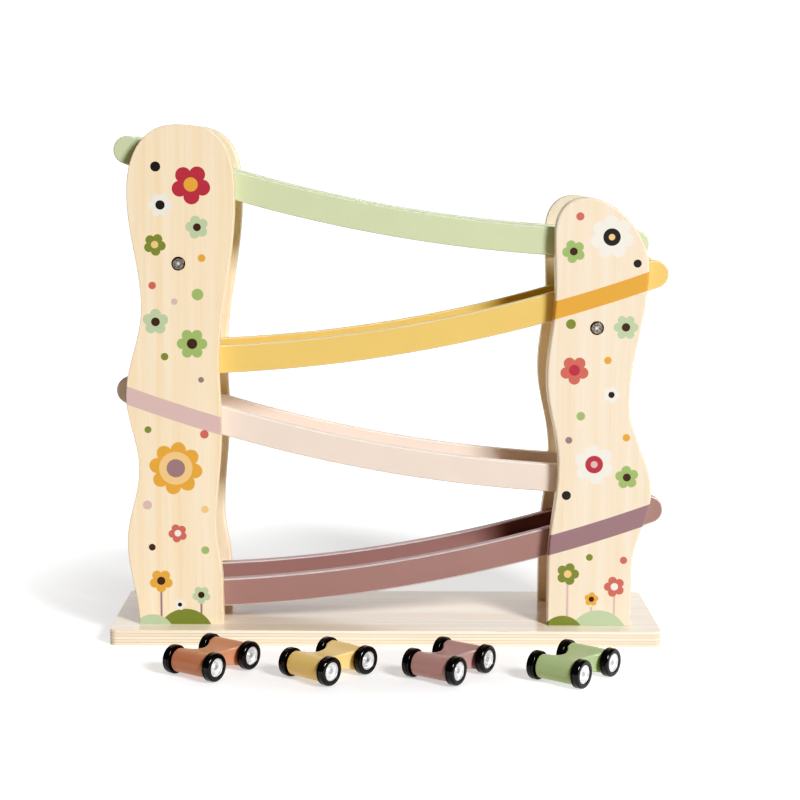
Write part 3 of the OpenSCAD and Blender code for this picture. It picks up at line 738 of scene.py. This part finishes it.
# Geometry Nodes: a board of even thickness bent along an arc, with round ends and rounded arrises.
# A grid is wrapped round the outline, ring by ring from one face to the other.
def bentRailTree():
    tree, known = newTree("bentRail", "GeometryNodeTree", ("Geometry", "Geometry"), {
        "Low Point X": 0.0, "Low Point Z": 0.1, "Direction": 1.0, "Arc Radius": 1.0, "Low Angle": 0.0,
        "High Angle": 0.3, "Height": 0.02, "Start Y": 0.0, "Thickness": 0.008, "Edge Radius": 0.001,
        "Run Steps": 72, "End Steps": 20, "Edge Steps": 4, "Paint": "Material"})
    addRows(tree, known, [
        ("bottomStart", "ADD", "Run Steps", "End Steps"),
        ("lowEndStart", "ADD", "bottomStart", "Run Steps"),
        ("around", "MULTIPLY", "bottomStart", 2),
        ("rings", "MULTIPLY_ADD", "Edge Steps", 2, 3),
        ("ringPoints", "ADD", "rings", 1),
        ("aroundPoints", "ADD", "around", 1),
    ])
    grid = addNode(tree, "GeometryNodeMeshGrid", {
        "Size X": 1, "Size Y": 1, "Vertices X": known["ringPoints"], "Vertices Y": known["aroundPoints"]})
    place = addNode(tree, "GeometryNodeInputPosition")
    axes = addNode(tree, "ShaderNodeSeparateXYZ", {0: place}).node.outputs
    known.update(X=axes["X"], Y=axes["Y"], zero=0)
    addRows(tree, known, [
        ("ring", "ADD", "X", 0.5),
        ("ring", "MULTIPLY", "ring", "rings"),
        ("ring", "ROUND", "ring"),
        ("index", "ADD", "Y", 0.5),
        ("index", "MULTIPLY", "index", "around"),
        ("index", "ROUND", "index"),
    ])

    # How far along each stretch of the outline a point is: top, high end, bottom, low end
    for name, start, length in (("top", "zero", "Run Steps"), ("highEnd", "Run Steps", "End Steps"),
                                ("bottom", "bottomStart", "Run Steps"), ("lowEnd", "lowEndStart", "End Steps")):
        addRows(tree, known, [
            ("finish", "ADD", start, length),
            (name, "MapRange LINEAR", "index", start, "finish", 0, 1),
        ])
    addRows(tree, known, [
        ("turn", "ADD", "highEnd", "lowEnd"),
        ("turn", "MULTIPLY", "turn", math.pi),
        ("along", "SUBTRACT", "top", "bottom"),
        ("sweep", "SUBTRACT", "High Angle", "Low Angle"),
        ("angle", "MULTIPLY_ADD", "along", "sweep", "Low Angle"),
        # How far a ring lies inside the outline, and how far through the board
        ("fromFace", "SUBTRACT", "rings", "ring"),
        ("fromFace", "MINIMUM", "ring", "fromFace"),
        ("bend", "SUBTRACT", "fromFace", 1),
        ("bend", "MAXIMUM", "bend", 0),
        ("bend", "DIVIDE", "bend", "Edge Steps"),
        ("bend", "MULTIPLY", "bend", math.pi / 2),
        ("halfHeight", "MULTIPLY", "Height", 0.5),
        ("inset", "SINE", "bend"),
        ("inset", "SUBTRACT", 1, "inset"),
        ("inset", "MULTIPLY", "inset", "Edge Radius"),
        ("middle", "LESS_THAN", "fromFace", 0.5),
        ("flat", "SUBTRACT", "halfHeight", "Edge Radius"),
        ("inset", "MULTIPLY_ADD", "middle", "flat", "inset"),
        ("sink", "COSINE", "bend"),
        ("sink", "SUBTRACT", 1, "sink"),
        ("sink", "MULTIPLY", "sink", "Edge Radius"),
        ("halfRings", "MULTIPLY", "rings", 0.5),
        ("farSide", "GREATER_THAN", "ring", "halfRings"),
        ("nearY", "ADD", "Start Y", "sink"),
        ("farY", "ADD", "Start Y", "Thickness"),
        ("farY", "SUBTRACT", "farY", "sink"),
        ("across", "SUBTRACT", "farY", "nearY"),
        ("y", "MULTIPLY_ADD", "farSide", "across", "nearY"),
        # From the middle line of the board, outwards by the rest of the half height
        ("reach", "SUBTRACT", "halfHeight", "inset"),
        ("inward", "COSINE", "turn"),
        ("inward", "MULTIPLY", "inward", "reach"),
        ("onward", "SINE", "turn"),
        ("onward", "MULTIPLY", "onward", "reach"),
        ("radius", "ADD", "Arc Radius", "halfHeight"),
        ("radius", "SUBTRACT", "radius", "inward"),
        ("sine", "SINE", "angle"),
        ("cosine", "COSINE", "angle"),
        ("x", "MULTIPLY", "radius", "sine"),
        ("x", "MULTIPLY_ADD", "onward", "cosine", "x"),
        ("x", "MULTIPLY_ADD", "x", "Direction", "Low Point X"),
        ("drop", "MULTIPLY", "radius", "cosine"),
        ("lift", "MULTIPLY", "onward", "sine"),
        ("drop", "SUBTRACT", "drop", "lift"),
        ("z", "ADD", "Low Point Z", "Arc Radius"),
        ("z", "SUBTRACT", "z", "drop"),
        # The bend of an arris, where paint wears and a highlight is painted
        ("pastBend", "ADD", "Edge Steps", 0.5),
        ("beforeFlat", "LESS_THAN", "fromFace", "pastBend"),
        ("onEdge", "GREATER_THAN", "fromFace", 1.5),
        ("onEdge", "MULTIPLY", "onEdge", "beforeFlat"),
    ])
    marked = addNode(tree, "GeometryNodeStoreNamedAttribute", {
        "Geometry": grid, "Name": "edge", "Value": known["onEdge"]}, data_type="FLOAT", domain="POINT")
    place = addNode(tree, "ShaderNodeCombineXYZ", {"X": known["x"], "Y": known["y"], "Z": known["z"]})
    wrapped = addNode(tree, "GeometryNodeSetPosition", {"Geometry": marked, "Position": place})
    closed = addNode(tree, "GeometryNodeMergeByDistance", {"Geometry": wrapped, "Distance": 0.01 * mm})
    real = addNode(tree, "GeometryNodeRealizeInstances", {"Geometry": closed})
    painted = addNode(tree, "GeometryNodeSetMaterial", {"Geometry": real, "Material": known["Paint"]})
    addNode(tree, "NodeGroupOutput", {"Geometry": painted})
    return tree


# Runs a tree on a piece, with its named inputs, and keeps the result as a plain mesh
def runTree(tree, name, values, mesh=None):
    piece = newObject(name, mesh or bpy.data.meshes.new(name))
    modifier = piece.modifiers.new(tree.name, "NODES")
    modifier.node_group = tree
    for socket in tree.interface.items_tree:
        if socket.item_type == "SOCKET" and socket.in_out == "INPUT" and socket.name in values:
            modifier[socket.identifier] = values[socket.name]
    applyModifiers(piece)
    return piece


shellGap = 0.002  # doubles closer than this are one


# Normals outwards, doubles merged, and shading that keeps flat faces flat
def finishShell(piece, angle=35):
    shape = bmesh.new()
    shape.from_mesh(piece.data)
    bmesh.ops.remove_doubles(shape, verts=shape.verts, dist=shellGap * mm)
    bmesh.ops.recalc_face_normals(shape, faces=shape.faces)
    shape.to_mesh(piece.data)
    shape.free()
    shadeSmooth(piece.data, angle)
    normals = piece.modifiers.new("evenShading", "WEIGHTED_NORMAL")
    normals.keep_sharp = True
    applyModifiers(piece)
    return piece


bentRail = bentRailTree()
for i, ramp in enumerate(rampSizes["names"]):
    arc = rampArc(i)
    halfHeight = rampSizes["railHeight"] / 2

    def endAngle(tipX, inwards):
        return math.asin(arc["side"] * (tipX + inwards * halfHeight - arc["lowX"]) / (arc["radius"] + halfHeight))

    for face in ("front", "back"):
        low, high = boxOf(f"{ramp}_{face}_rail")
        rail = runTree(bentRail, f"{ramp}{face.title()}Rail", {
            "Low Point X": arc["lowX"] * mm, "Low Point Z": arc["lowZ"] * mm, "Direction": float(arc["side"]),
            "Arc Radius": arc["radius"] * mm, "Low Angle": endAngle(arc["lowTip"], arc["side"]),
            "High Angle": endAngle(arc["highTip"], -arc["side"]), "Height": rampSizes["railHeight"] * mm,
            "Start Y": low[1] * mm, "Thickness": (high[1] - low[1]) * mm,
            "Edge Radius": rampSizes["edgeRadius"] * mm, "Paint": paints[ramp],
        })
        settle(finishShell(rail), paints[ramp], f"{ramp}_{face}_rail")
    for part, label in (("floor", "Floor"), ("high_crossbar", "HighCrossbar"), ("low_crossbar", "LowCrossbar")):
        piece = softenedCopy(f"{ramp}_{part}", ramp + label, softening["smallRadius"])
        settle(piece, paints[ramp], f"{ramp}_{part}")
print("track toy: ramps made")

for node, name in (("left_spreader", "leftSpreader"), ("right_spreader", "rightSpreader")):
    settle(softenedCopy(node, name, softening["smallRadius"]), dowelWood, node)
for node, name in (("spreader_screws", "spreaderScrews"), ("base_screws", "baseScrews")):
    settle(softenedCopy(node, name, softening["screwRadius"]), screwFinish[node], node)
print("track toy: spreaders and screws made")

# Cars: a dog-bone body with two round axle housings, a waist hollowed on all four sides
carSizes = {
    "bodyWidth": 27.8,
    "wheelRadius": 9.5,
    "housingRadius": 7.9,
    "wheelbase": 35.5,
    "waistHeight": 10.4,
    "waistWidth": 17,
    "hollowInset": 5,
    "edgeRadius": 1.3,
    "edgeSteps": 4,
    "arcSteps": 24,
    "cornerEase": 0.6,
    "edgeWearAndHighlight": 0.6,
    "carWidth": 40,
}


# Upper half of the body's side view, as points with outward normals from tail to nose
def bodyOutline():
    halfBase, housing = carSizes["wheelbase"] / 2, carSizes["housingRadius"]
    halfWaist = carSizes["waistHeight"] / 2
    waist = (halfBase ** 2 + halfWaist ** 2 - housing ** 2) / (2 * (housing - halfWaist))
    meet = math.atan2(halfBase, halfWaist + waist)  # where a housing runs into the waist, from the vertical
    points, steps = [], carSizes["arcSteps"]
    for k in range(steps + 1):
        angle = math.pi - (math.pi / 2 + meet) * k / steps
        points.append((-halfBase + housing * math.cos(angle), housing * math.sin(angle),
                       math.cos(angle), math.sin(angle)))
    for k in range(1, steps):
        angle = -meet + 2 * meet * k / steps
        points.append((waist * math.sin(angle), halfWaist + waist - waist * math.cos(angle),
                       -math.sin(angle), math.cos(angle)))
    for k in range(steps + 1):
        angle = (math.pi / 2 + meet) * (1 - k / steps)
        points.append((halfBase + housing * math.cos(angle), housing * math.sin(angle),
                       math.cos(angle), math.sin(angle)))
    return points


# Half the body's width at x: full at the housings, hollowed round at the waist, with an eased corner
def bodyHalfWidth(x):
    full, narrow = carSizes["bodyWidth"] / 2, carSizes["waistWidth"] / 2
    reach = carSizes["wheelbase"] / 2 - carSizes["hollowInset"]
    depth = full - narrow
    radius = (reach ** 2 + depth ** 2) / (2 * depth)
    hollow = narrow + radius - math.sqrt(max(radius ** 2 - x ** 2, 0)) if abs(x) < radius else 2 * full
    ease = carSizes["cornerEase"]
    gap = max(ease - abs(hollow - full), 0) / ease
    return min(hollow, full) - gap * gap * ease / 4


def carBodyMesh(name, centre, heading):
    turnBy = Matrix.Translation(centre) @ Matrix.Rotation(heading, 4, "Z")
    outline, steps, edge = bodyOutline(), carSizes["edgeSteps"], carSizes["edgeRadius"]
    shape = bmesh.new()
    mark = shape.verts.layers.float.new("edge")

    # Rings from the flat of one side over its rounded arris to the other side
    insets = [(edge * (1 - math.sin(a)), edge * (1 - math.cos(a)))
              for a in [math.pi / 2 * k / steps for k in range(steps + 1)]]
    rings = [(d, e, -1) for d, e in insets] + [(d, e, 1) for d, e in reversed(insets)]
    grid = []
    for inset, sink, side in rings:
        row = []
        for half in (1, -1):
            for x, z, nx, nz in outline if half == 1 else outline[::-1]:
                px, pz = x - nx * inset, z - nz * inset
                row.append(shape.verts.new(turnBy @ Vector((
                    px * mm, side * (bodyHalfWidth(px) - sink) * mm, half * pz * mm))))
        grid.append(row)
    count = len(grid[0])
    for a, b in zip(grid, grid[1:]):
        for k in range(count):
            shape.faces.new((a[k], a[(k + 1) % count], b[(k + 1) % count], b[k]))
    for row in (grid[0], grid[-1]):
        for k in range(count // 2 - 1):
            shape.faces.new((row[k], row[k + 1], row[count - 2 - k], row[count - 1 - k]))
    # The arris rows are marked for the lighter enamel colour: worn paint and a painted highlight
    for row in grid[1:steps] + grid[steps + 2:-1]:
        for vert in row:
            vert[mark] = carSizes["edgeWearAndHighlight"]
    bmesh.ops.remove_doubles(shape, verts=shape.verts, dist=shellGap * mm)
    mesh = bpy.data.meshes.new(name)
    shape.to_mesh(mesh)
    shape.free()
    return mesh


# A turned piece about local Z from a profile of radius and height, with its radius kept for turning marks
def turnedMesh(name, profile, segments=64):
    shape = bmesh.new()
    mark = shape.verts.layers.float.new("ringRadius")
    rings = []
    for radius, height in profile:
        ring = []
        for k in range(segments):
            angle = 2 * math.pi * k / segments
            vert = shape.verts.new((radius * math.cos(angle) * mm, radius * math.sin(angle) * mm, height * mm))
            vert[mark] = radius * mm
            ring.append(vert)
        rings.append(ring)
    closed = profile[0][0] > 0
    for a, b in zip(rings, rings[1:] + rings[:1] if closed else rings[1:]):
        for k in range(segments):
            shape.faces.new((a[k], a[(k + 1) % segments], b[(k + 1) % segments], b[k]))
    bmesh.ops.remove_doubles(shape, verts=shape.verts, dist=shellGap * mm)
    bmesh.ops.recalc_face_normals(shape, faces=shape.faces)
    mesh = bpy.data.meshes.new(name)
    shape.to_mesh(mesh)
    shape.free()
    return mesh


def arcPoints(centreR, centreH, radius, start, end, steps):
    return [(centreR + radius * math.cos(math.radians(start + (end - start) * k / steps)),
             centreH + radius * math.sin(math.radians(start + (end - start) * k / steps)))
            for k in range(steps + 1)]


# Tyre: glossy, with a rounded shoulder, a fine groove by the inner shoulder and a soft lip round the hub.
# Hub: a rolled rim, a dish and a raised boss. Heights run outwards from the tyre's inner face.
wheelSizes = {
    "tyreWidth": 5.7,
    "shoulder": 1.6,
    "innerShoulder": 0.7,
    "tyreLip": 0.35,
    "groove": (1.15, 1.65, 0.15, 0.28),  # from, to, slope and depth
    "hubRadius": 6.2,
    "rimSetback": 0.6,
    "rimBead": ((0.3, 0.3), (0.75, 0.25)),  # inwards of the rim, and radius, of its outer and inner bend
    "rimSlope": ((1.35, 0.45), (1.6, 0.15), (2, 0)),  # inwards of the rim, above the dish
    "dish": 1.6,
    "bossRadius": 2.6,
    "bossFoot": ((0.35, 0), (0.1, 0.1), (0, 0.3)),  # outwards of the boss, above the dish
    "bossBend": 0.25,
    "axleDiameter": 3,
    "axleProud": 0.5,
    "axleBend": 0.4,
}


def tyreProfile():
    r, w, s, hub = carSizes["wheelRadius"], wheelSizes["tyreWidth"], wheelSizes["shoulder"], wheelSizes["hubRadius"]
    inner, lip = wheelSizes["innerShoulder"], wheelSizes["tyreLip"]
    start, end, slope, depth = wheelSizes["groove"]
    return ([(hub, lip), (hub + lip, 0)]
            + arcPoints(r - inner, inner, inner, -90, 0, 6)
            + [(r, start), (r - depth, start + slope), (r - depth, end - slope), (r, end)]
            + arcPoints(r - s, w - s, s, 0, 90, 10)
            + arcPoints(hub + lip, w - lip, lip, 90, 180, 5))


def hubProfile():
    rim = wheelSizes["tyreWidth"] - wheelSizes["rimSetback"]
    hub, boss, bore = wheelSizes["hubRadius"], wheelSizes["bossRadius"], wheelSizes["axleDiameter"] / 2
    (outerPlace, outer), (innerPlace, inner) = wheelSizes["rimBead"]
    bend = wheelSizes["bossBend"]
    floor = rim - wheelSizes["dish"]
    bossTop = floor + wheelSizes["dish"] / 2
    return ([(bore, 0), (hub, 0), (hub, rim - outer)]
            + arcPoints(hub - outerPlace, rim - outer, outer, 0, 90, 4)
            + arcPoints(hub - innerPlace, rim - inner, inner, 90, 160, 3)
            + [(hub - inwards, floor + up) for inwards, up in wheelSizes["rimSlope"]]
            + [(boss + outwards, floor + up) for outwards, up in wheelSizes["bossFoot"]]
            + arcPoints(boss - bend, bossTop - bend, bend, 0, 90, 3)
            + [(bore, bossTop)])


def axleProfile():
    radius = wheelSizes["axleDiameter"] / 2
    rim = wheelSizes["tyreWidth"] - wheelSizes["rimSetback"]
    bossTop = rim - wheelSizes["dish"] / 2
    half = carSizes["carWidth"] / 2 - wheelSizes["tyreWidth"] + bossTop + wheelSizes["axleProud"]
    tip = wheelSizes["axleBend"]
    low = [(0, -half)] + arcPoints(radius - tip, -half + tip, tip, -90, 0, 4)
    return low + [(r, -h) for r, h in reversed(low)]


# Geometry Nodes: copies of one piece at marked points, each turned as its point says
def copiesTree():
    tree, known = newTree("copiesAtPoints", "GeometryNodeTree", ("Geometry", "Geometry"),
                          {"Geometry": "Geometry", "Piece": "Object", "Finish": "Material"})
    source = addNode(tree, "GeometryNodeObjectInfo", {"Object": known["Piece"]}, output="Geometry")
    turn = addNode(tree, "GeometryNodeInputNamedAttribute", {"Name": "turn"}, data_type="FLOAT_VECTOR")
    turn = addNode(tree, "FunctionNodeEulerToRotation", {0: turn})
    copies = addNode(tree, "GeometryNodeInstanceOnPoints", {
        "Points": known["Geometry"], "Instance": source, "Rotation": turn})
    real = addNode(tree, "GeometryNodeRealizeInstances", {"Geometry": copies})
    dressed = addNode(tree, "GeometryNodeSetMaterial", {"Geometry": real, "Material": known["Finish"]})
    addNode(tree, "NodeGroupOutput", {"Geometry": dressed})
    return tree


def markedPoints(name, places):
    mesh = bpy.data.meshes.new(name)
    mesh.from_pydata([point for point, turn in places], [], [])
    turns = mesh.attributes.new("turn", "FLOAT_VECTOR", "POINT")
    turns.data.foreach_set("vector", [c for point, turn in places for c in turn])
    return mesh


copiesAtPoints = copiesTree()
patterns = {
    "Tyres": (newObject("tyrePattern", turnedMesh("tyrePattern", tyreProfile(), 72)), tyrePlastic),
    "Hubs": (newObject("hubPattern", turnedMesh("hubPattern", hubProfile(), 64)), hubMetal),
    "Axle": (newObject("axlePattern", turnedMesh("axlePattern", axleProfile(), 32)), axleSteel),
}
hinges = {joint["child"]: joint for joint in frame["joints"] if joint["type"] == "hinge"}
for car in ("terracotta_car", "yellow_car", "mauve_car", "green_car"):
    front, rear = (Vector(hinges[f"{car}_{end}_wheels"]["pos_m"]) for end in ("front", "rear"))
    heading = math.atan2(front.y - rear.y, front.x - rear.x)
    plainName = car.split("_")[0]
    body = newObject(f"{plainName}CarBody", carBodyMesh(car, (front + rear) / 2, heading))
    settle(finishShell(body, 50), paints[car], f"{car}_body")
    outwards = Vector((math.sin(heading), -math.cos(heading), 0))
    flush = (carSizes["carWidth"] / 2 - wheelSizes["tyreWidth"]) * mm
    for end, centre in (("front", front), ("rear", rear)):
        both = [(centre + outwards * flush, (math.pi / 2, 0, heading)),
                (centre - outwards * flush, (math.pi / 2, 0, heading + math.pi))]
        for part, places in (("Tyres", both), ("Hubs", both), ("Axle", [(centre, (math.pi / 2, 0, heading))])):
            pattern, finish = patterns[part]
            name = f"{plainName}Car{end.title()}{part}"
            piece = runTree(copiesAtPoints, name, {"Piece": pattern, "Finish": finish}, markedPoints(name, places))
            settle(finishShell(piece, 40), finish, f"{car}_{end}_{part.lower()}")
for pattern, finish in patterns.values():
    bpy.data.objects.remove(pattern)
print("track toy: cars made")

studio = {
    "paper": ("#cfcfd0", "#cbcbcc"),
    "paperFibre": 1.5,
    "paperRoughness": 0.8,
    "paperRelief": 0.003,
    "paperShade": "#dfcfb8",
    "paperGlow": 1.05,  # how bright the light table is away from the toy
    # Dimmer pools in it, among the cars and behind the base, are painted shade round the toy, so that its cast
    # # shadows show on the floor: centre, reach, evenly dim share of it, and glow
    "shadePools": {
        "cars": ((-0.02, -0.11, 0), (0.3, 0.15, 1), 0.25, 0.46),
        "back": ((0, 0.1, 0), (0.42, 0.42, 1), 0.4, 0.5),
    },
    "poolBounce": 0.3,  # light that the paper among the cars throws back up
    "floorReach": (9, 4),  # to both sides, and to the front
    "wallPlace": 3.2,
    "wallHeight": 4,
    "wallMirrored": 1.2,
    "wallLight": 0.8,
    "worldStrength": 0.1,
    "worldMirrored": 0.12,
    "keyPower": 3.12,
    "keyPlace": (0.966, -1.353, 1.012),
    "keyAim": (0.1, 0, 0.2),
    "keyDiameter": 0.5,
}


def flatSheet(name, corners, material):
    mesh = bpy.data.meshes.new(name)
    mesh.from_pydata(corners, [], [list(range(len(corners)))])
    mesh.materials.append(material)
    sheet = newObject(name, mesh)
    return sheet


# Matt white paper on a light table: white to the camera and in mirrors, but it throws little light back up,
# so that shaded sides stay deep
paperLook, tree, place = newMaterial("whitePaper")
rays = addNode(tree, "ShaderNodeLightPath").node.outputs
fibre = stretchedNoise(tree, place, [studio["paperFibre"]] * 3)
known = {"place": place, "camera": rays["Is Camera Ray"], "glossy": rays["Is Glossy Ray"], "fibre": fibre,
         "glow": studio["paperGlow"]}
addRows(tree, known, [
    ("seen", "MAXIMUM", "camera", "glossy"),
    ("tint", "Mix RGBA", "fibre", *(hexColour(paper) for paper in studio["paper"])),
    ("tint", "Mix RGBA", "seen", hexColour(studio["paperShade"]), "tint"),
])
# Painted shade round the toy: the table glows less in each pool
for name, (centre, reach, core, dim) in studio["shadePools"].items():
    addRows(tree, known, [
        ("away", "VectorMath SUBTRACT", "place", centre),
        ("away", "VectorMath DIVIDE", "away", reach),
        ("away", "VectorMath LENGTH", "away"),
        (name, "MapRange SMOOTHSTEP", "away", core, 1, dim, studio["paperGlow"]),
        ("glow", "MINIMUM", "glow", name),
    ])
cars = studio["shadePools"]["cars"]
addRows(tree, known, [("bounce", "MapRange LINEAR", "cars", cars[3], studio["paperGlow"], studio["poolBounce"], 0)])
glow = addNode(tree, "ShaderNodeMix", {0: known["seen"], 2: known["bounce"], 3: known["glow"]}, output=0)
closeMaterial(tree, {"Base Color": known["tint"], "Roughness": studio["paperRoughness"],
                     "Emission Color": (1, 1, 1, 1), "Emission Strength": glow}, fibre, studio["paperRelief"] * mm)
sides, front = studio["floorReach"]
back, height = studio["wallPlace"], studio["wallHeight"]
flatSheet("paperFloor", [(-sides, -front, 0), (sides, -front, 0), (sides, back, 0), (-sides, back, 0)], paperLook)

# Lit white wall behind, which gives the tops their pale sheen
wallLook, tree, place = newMaterial("litWall")
rays = addNode(tree, "ShaderNodeLightPath").node.outputs
strength = addNode(tree, "ShaderNodeMapRange", {0: rays["Is Diffuse Ray"], 3: studio["wallMirrored"],
                                                4: studio["wallLight"]})
glow = addNode(tree, "ShaderNodeEmission", {"Color": (1, 1, 1, 1), "Strength": strength})
addNode(tree, "ShaderNodeOutputMaterial", {"Surface": glow})
wall = flatSheet("litWall", [(-sides, back, 0), (sides, back, 0), (sides, back, height), (-sides, back, height)],
                 wallLook)
wall.visible_shadow = False  # the key light comes past it


# Round softbox to the front right, where the photograph's shadows put it; it lights near and far alike,
# as the photograph's evenly lit wood does
def softbox():
    light = bpy.data.lights.new("keySoftbox", "AREA")
    light.shape, light.size, light.energy = "DISK", studio["keyDiameter"], 1
    light.use_nodes = True
    tree = light.node_tree
    tree.nodes.clear()
    even = addNode(tree, "ShaderNodeLightFalloff", {"Strength": studio["keyPower"] * math.pi}, output="Constant")
    glow = addNode(tree, "ShaderNodeEmission", {"Color": (1, 1, 1, 1), "Strength": even})
    addNode(tree, "ShaderNodeOutputLight", {"Surface": glow})
    holder = bpy.data.objects.new("keySoftbox", light)
    holder.location = studio["keyPlace"]
    holder.rotation_mode = "QUATERNION"
    toToy = Vector(studio["keyAim"]) - Vector(studio["keyPlace"])
    holder.rotation_quaternion = toToy.to_track_quat("-Z", "Y")
    scene.collection.objects.link(holder)


softbox()
# The room is dim, but its walls look white in themselves and in what is glossy
world = bpy.data.worlds.new("studioWorld")
scene.world = world
world.use_nodes = True
tree = world.node_tree
tree.nodes.clear()
rays = addNode(tree, "ShaderNodeLightPath").node.outputs
known = addRows(tree, {"camera": rays["Is Camera Ray"], "glossy": rays["Is Glossy Ray"]}, [
    ("strength", "MULTIPLY_ADD", "glossy", studio["worldMirrored"], studio["worldStrength"]),
    ("strength", "ADD", "camera", "strength"),
])
room = addNode(tree, "ShaderNodeBackground", {"Color": (1, 1, 1, 1), "Strength": known["strength"]})
addNode(tree, "ShaderNodeOutputWorld", {"Surface": room})

# Camera as fitted to the photograph: place, aim and focal length
cameraFit = {
    "place": (-5.169, -1305.419, 340.362),
    "yaw": 0.0112,
    "pitch": 0.1335,
    "roll": 0.0066,
    "lens": 82.86,
    "sensor": 36,
}
yaw, pitch, roll = cameraFit["yaw"], cameraFit["pitch"], cameraFit["roll"]
ahead = Vector((math.sin(yaw) * math.cos(pitch), math.cos(yaw) * math.cos(pitch), -math.sin(pitch)))
level = ahead.cross(Vector((0, 0, 1))).normalized()
upright = level.cross(ahead)
across = level * math.cos(roll) + upright * math.sin(roll)
above = upright * math.cos(roll) - level * math.sin(roll)
cameraData = bpy.data.cameras.new("photoCamera")
cameraData.lens, cameraData.sensor_width, cameraData.clip_end = cameraFit["lens"], cameraFit["sensor"], 100
camera = bpy.data.objects.new("photoCamera", cameraData)
camera.matrix_world = Matrix.Translation([c * mm for c in cameraFit["place"]]) @ Matrix(
    (across, above, -ahead)).transposed().to_4x4()
scene.collection.objects.link(camera)
scene.camera = camera
scene.view_settings.view_transform = "Standard"

# The photograph's contrast: shadows pulled down, and so warmer, and everything from mid grey up kept
contrast = [(0.02, 0.004), (0.05, 0.02), (0.1, 0.065), (0.2, 0.17), (0.3, 0.29), (0.5, 0.5)]
scene.view_settings.use_curve_mapping = True
mapping = scene.view_settings.curve_mapping
allColours = mapping.curves[3]
for seen, shown in contrast:
    allColours.points.new(seen, shown)
for point in allColours.points:
    point.handle_type = "AUTO_CLAMPED"
mapping.update()
print("track toy: studio made")
